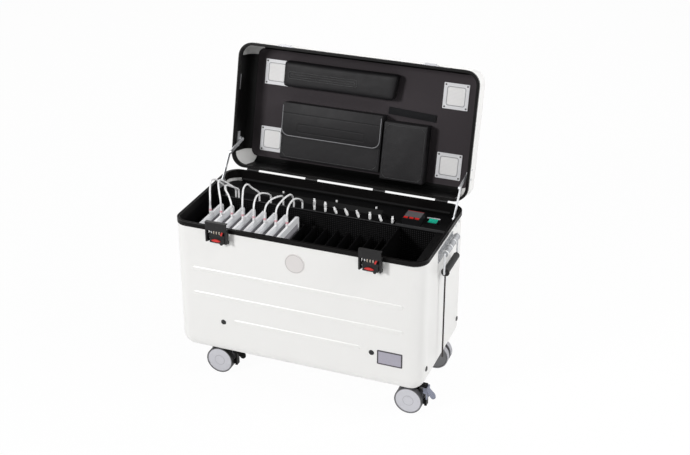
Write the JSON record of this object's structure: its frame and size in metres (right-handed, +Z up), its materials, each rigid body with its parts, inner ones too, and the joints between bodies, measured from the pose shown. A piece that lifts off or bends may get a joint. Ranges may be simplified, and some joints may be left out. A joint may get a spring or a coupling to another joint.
{
  "type": "tablet charging case",
  "caption": "Wheeled white travel case on castors with an open hinged lid, upright slots that hold and charge tablets, latches and side handles.",
  "frame": {"origin": "on the floor under the middle of the whole outline with the lid open", "axes": "+X along the case to its right end seen from the front, +Y to the hinged rear, +Z up"},
  "size_m": [0.8571, 0.6374, 0.9563],
  "materials": {
    "white_shell": "smooth moulded",
    "black_profile": "satin extruded edge",
    "lining_board": "felt lining",
    "pouch_cloth": "woven cloth",
    "elastic": "ribbed elastic",
    "steel_plate": "satin zinc plated",
    "filter_mat": "lined",
    "black_metal": "satin black",
    "dark_plastic": "fine grained",
    "red_plastic": "smooth",
    "cream_plastic": "smooth",
    "green_plastic": "smooth",
    "grip_rubber": "fine grained",
    "cord_cloth": "braided",
    "wheel_tread": "smooth",
    "pedal_grey": "smooth",
    "lead_white": "smooth",
    "tablet_body": "satin with white glass front"
  },
  "bodies": {
    "case": {"case_shell": "white_shell", "case_rim": "black_profile", "hinge_case": "black_metal", "latch_bases": "black_metal", "handle_brackets": "steel_plate", "castor_plates": "black_metal", "stay_case_brackets": "steel_plate", "liner": "dark_plastic", "slot_dividers": "dark_plastic", "rear_housing": "dark_plastic", "power_module": "dark_plastic", "tablets": "tablet_body", "connectors": "lead_white", "leads": "lead_white", "plugs_and_plates": "dark_plastic"},
    "lid": {"lid_shell": "white_shell", "lid_rim": "black_profile", "lid_lining": "lining_board", "vent_frames": "steel_plate", "vent_filters": "filter_mat", "pouch_roll": "pouch_cloth", "pouch_main": "pouch_cloth", "pouch_side": "pouch_cloth", "elastic_band": "elastic", "hinge_lid": "black_metal", "catch_plates": "steel_plate", "stay_lid_brackets": "steel_plate"},
    "stay_lower_l": {"stay_lower_l": "steel_plate"},
    "stay_upper_l": {"stay_upper_l": "steel_plate"},
    "flap_l": {"latch_flap_l": "black_metal"},
    "button_l": {"latch_button_l": "red_plastic"},
    "dial_l1": {"dial_l1": "cream_plastic"},
    "dial_l2": {"dial_l2": "cream_plastic"},
    "dial_l3": {"dial_l3": "cream_plastic"},
    "handle_l": {"bail_l": "steel_plate", "grip_l": "grip_rubber"},
    "stay_lower_r": {"stay_lower_r": "steel_plate"},
    "stay_upper_r": {"stay_upper_r": "steel_plate"},
    "flap_r": {"latch_flap_r": "black_metal"},
    "button_r": {"latch_button_r": "red_plastic"},
    "dial_r1": {"dial_r1": "cream_plastic"},
    "dial_r2": {"dial_r2": "cream_plastic"},
    "dial_r3": {"dial_r3": "cream_plastic"},
    "handle_r": {"bail_r": "steel_plate", "grip_r": "grip_rubber"},
    "pull_cord": {"pull_cord": "cord_cloth"},
    "castor_fl": {"castor_fork_fl": "dark_plastic"},
    "wheels_fl": {"wheels_fl": "wheel_tread"},
    "pedal_fl": {"pedal_fl": "dark_plastic"},
    "castor_fr": {"castor_fork_fr": "dark_plastic"},
    "wheels_fr": {"wheels_fr": "wheel_tread"},
    "pedal_fr": {"pedal_fr": "pedal_grey"},
    "castor_rl": {"castor_fork_rl": "dark_plastic"},
    "wheels_rl": {"wheels_rl": "wheel_tread"},
    "castor_rr": {"castor_fork_rr": "dark_plastic"},
    "wheels_rr": {"wheels_rr": "wheel_tread"},
    "module_button_1": {"module_button_1": "red_plastic"},
    "module_button_2": {"module_button_2": "red_plastic"},
    "module_button_3": {"module_button_3": "red_plastic"},
    "rocker": {"rocker": "green_plastic"}
  },
  "joints": [
    {"name": "lid_hinge", "type": "hinge", "parent": "case", "child": "lid", "pos_m": [0, 0.11483, 0.5527], "axis": [1, 0, 0], "range_deg": [0, 104.3]},
    {"name": "stay_lower_l_pivot", "type": "hinge", "parent": "case", "child": "stay_lower_l", "pos_m": [-0.3871, 0.02683, 0.5427], "axis": [1, 0, 0], "range_deg": [0, 104.3]},
    {"name": "stay_upper_l_pivot", "type": "hinge", "parent": "lid", "child": "stay_upper_l", "pos_m": [-0.3839, 0.17579, 0.6287], "axis": [1, 0, 0], "range_deg": [-104.3, 0]},
    {"name": "flap_l_pivot", "type": "hinge", "parent": "case", "child": "flap_l", "pos_m": [-0.2425, -0.30517, 0.514], "axis": [1, 0, 0], "range_deg": [0, 80]},
    {"name": "button_l_press", "type": "slide", "parent": "case", "child": "button_l", "axis": [0, 1, 0], "range_m": [0, 0.002], "stiffness_N_per_m": 500},
    {"name": "dial_l1_turn", "type": "hinge", "parent": "case", "child": "dial_l1", "pos_m": [-0.2515, -0.30767, 0.5425], "axis": [1, 0, 0], "continuous": true},
    {"name": "dial_l2_turn", "type": "hinge", "parent": "case", "child": "dial_l2", "pos_m": [-0.2425, -0.30767, 0.5425], "axis": [1, 0, 0], "continuous": true},
    {"name": "dial_l3_turn", "type": "hinge", "parent": "case", "child": "dial_l3", "pos_m": [-0.2335, -0.30767, 0.5425], "axis": [1, 0, 0], "continuous": true},
    {"name": "handle_l_swing", "type": "hinge", "parent": "case", "child": "handle_l", "pos_m": [-0.417, -0.09267, 0.52], "axis": [0, 1, 0], "range_deg": [0, 90]},
    {"name": "stay_lower_r_pivot", "type": "hinge", "parent": "case", "child": "stay_lower_r", "pos_m": [0.3871, 0.02683, 0.5427], "axis": [1, 0, 0], "range_deg": [0, 104.3]},
    {"name": "stay_upper_r_pivot", "type": "hinge", "parent": "lid", "child": "stay_upper_r", "pos_m": [0.3839, 0.17579, 0.6287], "axis": [1, 0, 0], "range_deg": [-104.3, 0]},
    {"name": "flap_r_pivot", "type": "hinge", "parent": "case", "child": "flap_r", "pos_m": [0.2425, -0.30517, 0.514], "axis": [1, 0, 0], "range_deg": [0, 80]},
    {"name": "button_r_press", "type": "slide", "parent": "case", "child": "button_r", "axis": [0, 1, 0], "range_m": [0, 0.002], "stiffness_N_per_m": 500},
    {"name": "dial_r1_turn", "type": "hinge", "parent": "case", "child": "dial_r1", "pos_m": [0.2335, -0.30767, 0.5425], "axis": [1, 0, 0], "continuous": true},
    {"name": "dial_r2_turn", "type": "hinge", "parent": "case", "child": "dial_r2", "pos_m": [0.2425, -0.30767, 0.5425], "axis": [1, 0, 0], "continuous": true},
    {"name": "dial_r3_turn", "type": "hinge", "parent": "case", "child": "dial_r3", "pos_m": [0.2515, -0.30767, 0.5425], "axis": [1, 0, 0], "continuous": true},
    {"name": "handle_r_swing", "type": "hinge", "parent": "case", "child": "handle_r", "pos_m": [0.417, -0.09267, 0.52], "axis": [0, 1, 0], "range_deg": [-90, 0]},
    {"name": "pull_cord_hang", "type": "hinge", "parent": "handle_r", "child": "pull_cord", "pos_m": [0.417, -0.14667, 0.455], "axis": [0, 1, 0], "range_deg": [0, 90]},
    {"name": "castor_fl_swivel", "type": "hinge", "parent": "case", "child": "castor_fl", "pos_m": [-0.316, -0.21467, 0.096], "axis": [0, 0, 1], "continuous": true},
    {"name": "wheels_fl_roll", "type": "hinge", "parent": "castor_fl", "child": "wheels_fl", "pos_m": [-0.291, -0.21467, 0.044], "axis": [0, 1, 0], "continuous": true},
    {"name": "pedal_fl_press", "type": "hinge", "parent": "castor_fl", "child": "pedal_fl", "pos_m": [-0.242, -0.21467, 0.086], "axis": [0, 1, 0], "range_deg": [0, 12]},
    {"name": "castor_fr_swivel", "type": "hinge", "parent": "case", "child": "castor_fr", "pos_m": [0.316, -0.21467, 0.096], "axis": [0, 0, 1], "continuous": true},
    {"name": "wheels_fr_roll", "type": "hinge", "parent": "castor_fr", "child": "wheels_fr", "pos_m": [0.341, -0.21467, 0.044], "axis": [0, 1, 0], "continuous": true},
    {"name": "pedal_fr_press", "type": "hinge", "parent": "castor_fr", "child": "pedal_fr", "pos_m": [0.39, -0.21467, 0.086], "axis": [0, 1, 0], "range_deg": [0, 12]},
    {"name": "castor_rl_swivel", "type": "hinge", "parent": "case", "child": "castor_rl", "pos_m": [-0.316, 0.05233, 0.096], "axis": [0, 0, 1], "continuous": true},
    {"name": "wheels_rl_roll", "type": "hinge", "parent": "castor_rl", "child": "wheels_rl", "pos_m": [-0.291, 0.05233, 0.044], "axis": [0, 1, 0], "continuous": true},
    {"name": "castor_rr_swivel", "type": "hinge", "parent": "case", "child": "castor_rr", "pos_m": [0.316, 0.05233, 0.096], "axis": [0, 0, 1], "continuous": true},
    {"name": "wheels_rr_roll", "type": "hinge", "parent": "castor_rr", "child": "wheels_rr", "pos_m": [0.341, 0.05233, 0.044], "axis": [0, 1, 0], "continuous": true},
    {"name": "module_button_1_press", "type": "slide", "parent": "case", "child": "module_button_1", "axis": [0, 0, -1], "range_m": [0, 0.0015], "stiffness_N_per_m": 300},
    {"name": "module_button_2_press", "type": "slide", "parent": "case", "child": "module_button_2", "axis": [0, 0, -1], "range_m": [0, 0.0015], "stiffness_N_per_m": 300},
    {"name": "module_button_3_press", "type": "slide", "parent": "case", "child": "module_button_3", "axis": [0, 0, -1], "range_m": [0, 0.0015], "stiffness_N_per_m": 300},
    {"name": "rocker_tip", "type": "hinge", "parent": "case", "child": "rocker", "pos_m": [0.319, 0.03733, 0.5162], "axis": [1, 0, 0], "range_deg": [-14, 0]}
  ],
  "couplings": [
    {"joint": "stay_lower_l_pivot", "follows": "lid_hinge", "ratio": 1},
    {"joint": "stay_upper_l_pivot", "follows": "lid_hinge", "ratio": -1},
    {"joint": "stay_lower_r_pivot", "follows": "lid_hinge", "ratio": 1},
    {"joint": "stay_upper_r_pivot", "follows": "lid_hinge", "ratio": -1},
    {"joint": "pull_cord_hang", "follows": "handle_r_swing", "ratio": -1}
  ]
}
